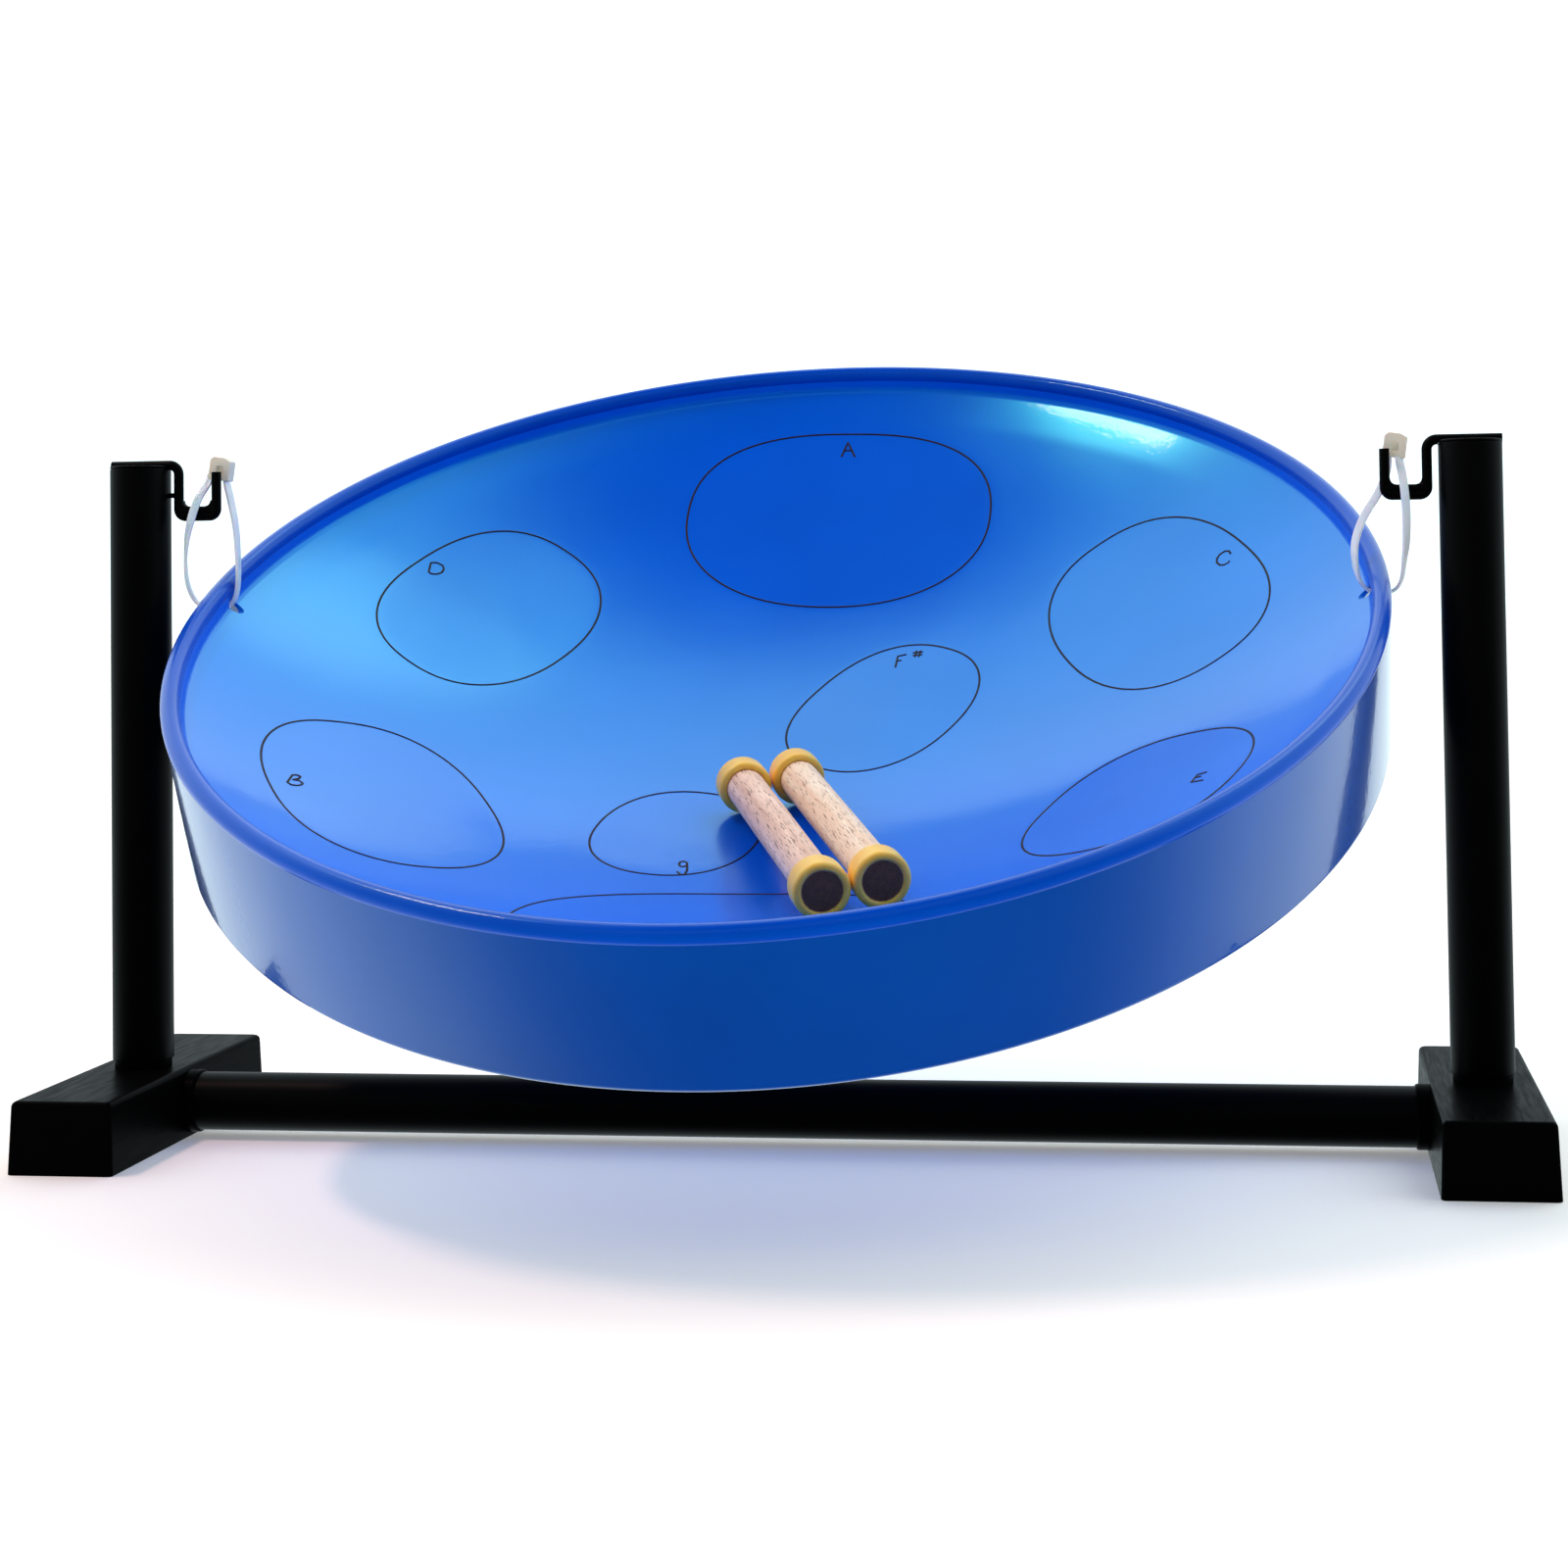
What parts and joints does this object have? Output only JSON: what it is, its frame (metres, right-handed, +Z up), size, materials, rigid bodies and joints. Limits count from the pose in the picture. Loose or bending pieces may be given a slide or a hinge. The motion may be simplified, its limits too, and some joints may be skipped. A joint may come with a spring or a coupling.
{
  "type": "steel pan",
  "caption": "Round blue steel pan with a sunk playing surface, hung on two nylon ties from a low black stand, with short rubber-tipped mallets lying in it.",
  "frame": {"origin": "on the table under the centre of the object's bounding box", "axes": "+X along the crossbar to the right post, +Y to the raised back of the pan, +Z up"},
  "size_m": [0.4962, 0.3856, 0.2758],
  "materials": {
    "black_plastic": "satin",
    "black_steel": "satin",
    "brass": "machined",
    "zinc_steel": "plated",
    "blue_enamel": "gloss",
    "nylon": "translucent satin",
    "nylon_head": "satin",
    "hardwood": "bare open grain",
    "yellow_rubber": "matte"
  },
  "bodies": {
    "stand": {"left_foot": "black_plastic", "right_foot": "black_plastic", "left_post": "black_steel", "right_post": "black_steel", "left_post_cap": "black_steel", "right_post_cap": "black_steel", "left_hook": "black_steel", "right_hook": "black_steel", "left_hook_weld": "black_steel", "crossbar": "black_steel", "left_bar_ring": "black_plastic", "right_bar_ring": "black_plastic", "left_post_insert": "brass", "right_post_insert": "brass", "left_foot_screw": "zinc_steel", "right_foot_screw": "zinc_steel"},
    "left_tie": {"left_tie_strap": "nylon", "left_tie_head": "nylon_head"},
    "right_tie": {"right_tie_strap": "nylon", "right_tie_head": "nylon_head"},
    "pan": {"pan_bowl": "blue_enamel", "rim_ring": "blue_enamel", "pan_skirt": "blue_enamel"},
    "mallet_1": {"mallet_1_stick": "hardwood", "mallet_1_front_tip": "yellow_rubber", "mallet_1_rear_tip": "yellow_rubber"},
    "mallet_2": {"mallet_2_stick": "hardwood", "mallet_2_front_tip": "yellow_rubber", "mallet_2_rear_tip": "yellow_rubber"}
  },
  "joints": [
    {"name": "left_tie_swing", "type": "hinge", "parent": "stand", "child": "left_tie", "pos_m": [-0.209, 0.00241, 0.2168], "axis": [1, 0, 0], "range_deg": [-12, 4]},
    {"name": "pan_tilt", "type": "hinge", "parent": "left_tie", "child": "pan", "pos_m": [-0.2, 0.00241, 0.184], "axis": [1, 0, 0], "range_deg": [-26, 15]},
    {"name": "right_tie_swing", "type": "hinge", "parent": "stand", "child": "right_tie", "pos_m": [0.209, 0.00241, 0.2168], "axis": [1, 0, 0], "range_deg": [-12, 4]},
    {"name": "mallet_1_lift", "type": "slide", "parent": "pan", "child": "mallet_1", "axis": [0, -0.4415, 0.8973], "range_m": [0, 0.15]},
    {"name": "mallet_2_lift", "type": "slide", "parent": "pan", "child": "mallet_2", "axis": [0, -0.4415, 0.8973], "range_m": [0, 0.15]}
  ],
  "couplings": [
    {"joint": "right_tie_swing", "follows": "left_tie_swing", "ratio": 1}
  ]
}
